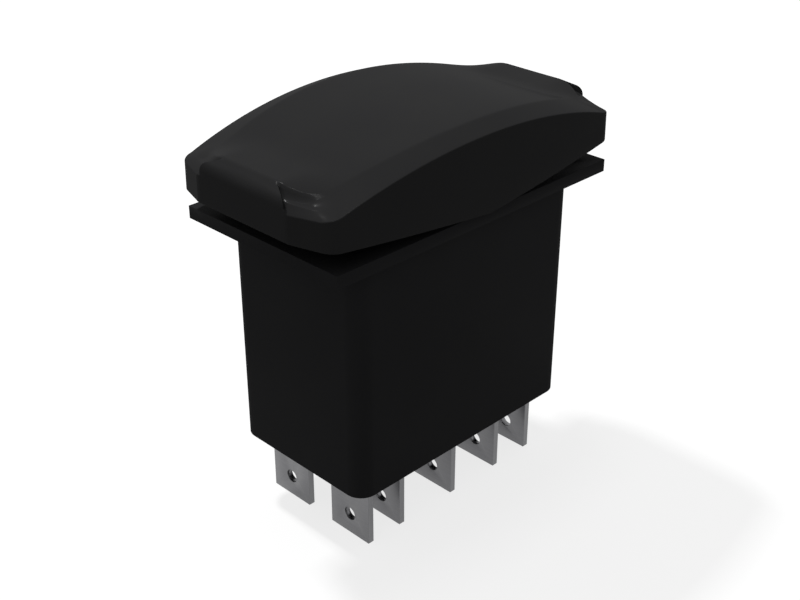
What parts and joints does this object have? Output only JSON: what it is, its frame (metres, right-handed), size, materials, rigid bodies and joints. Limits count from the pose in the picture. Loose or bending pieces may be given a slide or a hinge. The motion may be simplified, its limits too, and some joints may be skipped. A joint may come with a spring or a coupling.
{
  "type": "panel rocker switch",
  "caption": "Panel rocker switch: an arched rocker cap over a thin flange, a deep box case behind the panel and flat blade terminals below.",
  "frame": {"origin": "middle of the panel cut-out, in the plane of the flange's underside", "axes": "+X along the long side, +Y across, +Z out of the panel, towards the finger"},
  "size_m": [0.0468, 0.0258, 0.0489],
  "materials": {
    "cap_plastic": "satin black moulded",
    "case_plastic": "satin black moulded",
    "base_plastic": "matt black moulded",
    "bracket_nylon": "matt black moulded",
    "plunger_nylon": "natural nylon",
    "plated_brass": "bright nickel plate",
    "blade_copper": "rolled copper",
    "contact_silver": "pressed silver alloy",
    "spring_steel": "drawn wire",
    "tinned_wire": "tinned",
    "lamp_resin": "clear red resin",
    "resistor_enamel": "enamelled ceramic"
  },
  "bodies": {
    "case": {"housing": "case_plastic", "terminal_base": "base_plastic", "near_lamp_terminal_left": "plated_brass", "near_throw_terminal_left": "plated_brass", "centre_terminal_left": "plated_brass", "far_throw_terminal_left": "plated_brass", "far_lamp_terminal_left": "plated_brass", "fixed_contact_near_left": "contact_silver", "fixed_contact_far_left": "contact_silver", "near_lamp_terminal_right": "plated_brass", "near_throw_terminal_right": "plated_brass", "centre_terminal_right": "plated_brass", "far_throw_terminal_right": "plated_brass", "far_lamp_terminal_right": "plated_brass", "fixed_contact_near_right": "contact_silver", "fixed_contact_far_right": "contact_silver", "indicator_lamp_near": "lamp_resin", "lamp_resistor_near": "resistor_enamel", "lamp_leads_near": "tinned_wire", "indicator_lamp_far": "lamp_resin", "lamp_resistor_far": "resistor_enamel", "lamp_leads_far": "tinned_wire"},
    "rocker": {"plunger_spring_left": "spring_steel", "plunger_spring_right": "spring_steel", "rocker_bracket": "bracket_nylon", "rocker_cap": "cap_plastic"},
    "plunger_left": {"plunger_left": "plunger_nylon"},
    "blade_left": {"contact_blade_left": "blade_copper", "moving_contact_near_left": "contact_silver", "moving_contact_far_left": "contact_silver"},
    "plunger_right": {"plunger_right": "plunger_nylon"},
    "blade_right": {"contact_blade_right": "blade_copper", "moving_contact_near_right": "contact_silver", "moving_contact_far_right": "contact_silver"}
  },
  "joints": [
    {"name": "rocker_tilt", "type": "hinge", "parent": "case", "child": "rocker", "pos_m": [0, 0, -0.003], "axis": [0, 1, 0], "range_deg": [-5.5, 5.5]},
    {"name": "plunger_slide_left", "type": "slide", "parent": "rocker", "child": "plunger_left", "axis": [0, 0, 1], "range_m": [0, 0.0012], "stiffness_N_per_m": 600, "deforming": ["plunger_spring_left"]},
    {"name": "blade_rock_left", "type": "hinge", "parent": "case", "child": "blade_left", "pos_m": [0, -0.0052, -0.0205], "axis": [0, 1, 0], "range_deg": [-7.5, 7.5]},
    {"name": "plunger_slide_right", "type": "slide", "parent": "rocker", "child": "plunger_right", "axis": [0, 0, 1], "range_m": [0, 0.0012], "stiffness_N_per_m": 600, "deforming": ["plunger_spring_right"]},
    {"name": "blade_rock_right", "type": "hinge", "parent": "case", "child": "blade_right", "pos_m": [0, 0.0052, -0.0205], "axis": [0, 1, 0], "range_deg": [-7.5, 7.5]}
  ],
  "couplings": [
    {"joint": "blade_rock_left", "follows": "rocker_tilt", "ratio": -1.36},
    {"joint": "blade_rock_right", "follows": "rocker_tilt", "ratio": -1.36}
  ]
}
